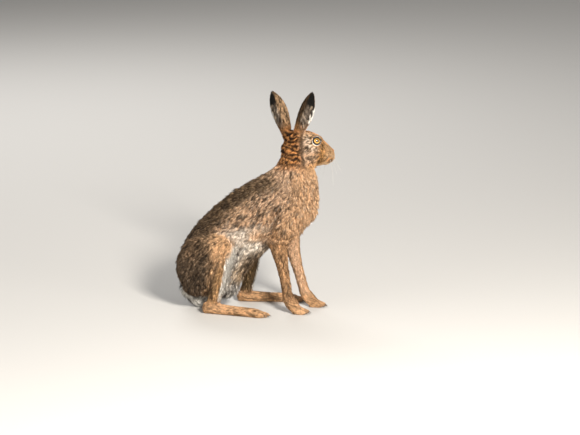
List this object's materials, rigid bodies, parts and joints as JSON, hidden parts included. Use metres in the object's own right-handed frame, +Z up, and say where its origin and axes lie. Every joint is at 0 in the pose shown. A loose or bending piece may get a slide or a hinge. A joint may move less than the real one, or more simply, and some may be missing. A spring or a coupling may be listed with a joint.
{
  "type": "sitting brown hare",
  "caption": "Life-size brown hare sitting up on straight forelegs, head turned aside, long black-tipped ears raised, hind feet flat.",
  "frame": {"origin": "centre of the bounding box at floor level, under the soles", "axes": "+X the way the hare faces, +Y to its left, +Z up"},
  "size_m": [0.3398, 0.1818, 0.4988],
  "materials": {
    "coat_grizzled": "short dense fur, black-brown and ochre, grizzled",
    "coat_ochre": "short ochre fur of the face, greyer on the cheek",
    "coat_russet": "short orange-brown fur of neck and legs",
    "ear_coat": "very short buff fur, pale behind, black at the tip",
    "tail_coat": "loose white fur, black along the top",
    "eye": "wet glossy amber iris round a black pupil",
    "claw": "dull dark horn",
    "nose_skin": "bare dark skin at nostrils, lips and lids"
  },
  "bodies": {
    "root": {"head": "coat_ochre", "eye_right": "eye", "eye_left": "eye", "ear_right": "ear_coat", "ear_left": "ear_coat", "neck": "coat_russet", "torso": "coat_grizzled", "tail": "tail_coat", "thigh_right": "coat_grizzled", "thigh_left": "coat_grizzled", "shank_right": "coat_russet", "shank_left": "coat_russet", "hindfoot_right": "coat_russet", "hindfoot_left": "coat_russet", "foreleg_right": "coat_russet", "foreleg_left": "coat_russet", "forepaw_right": "coat_russet", "forepaw_left": "coat_russet"}
  },
  "joints": []
}
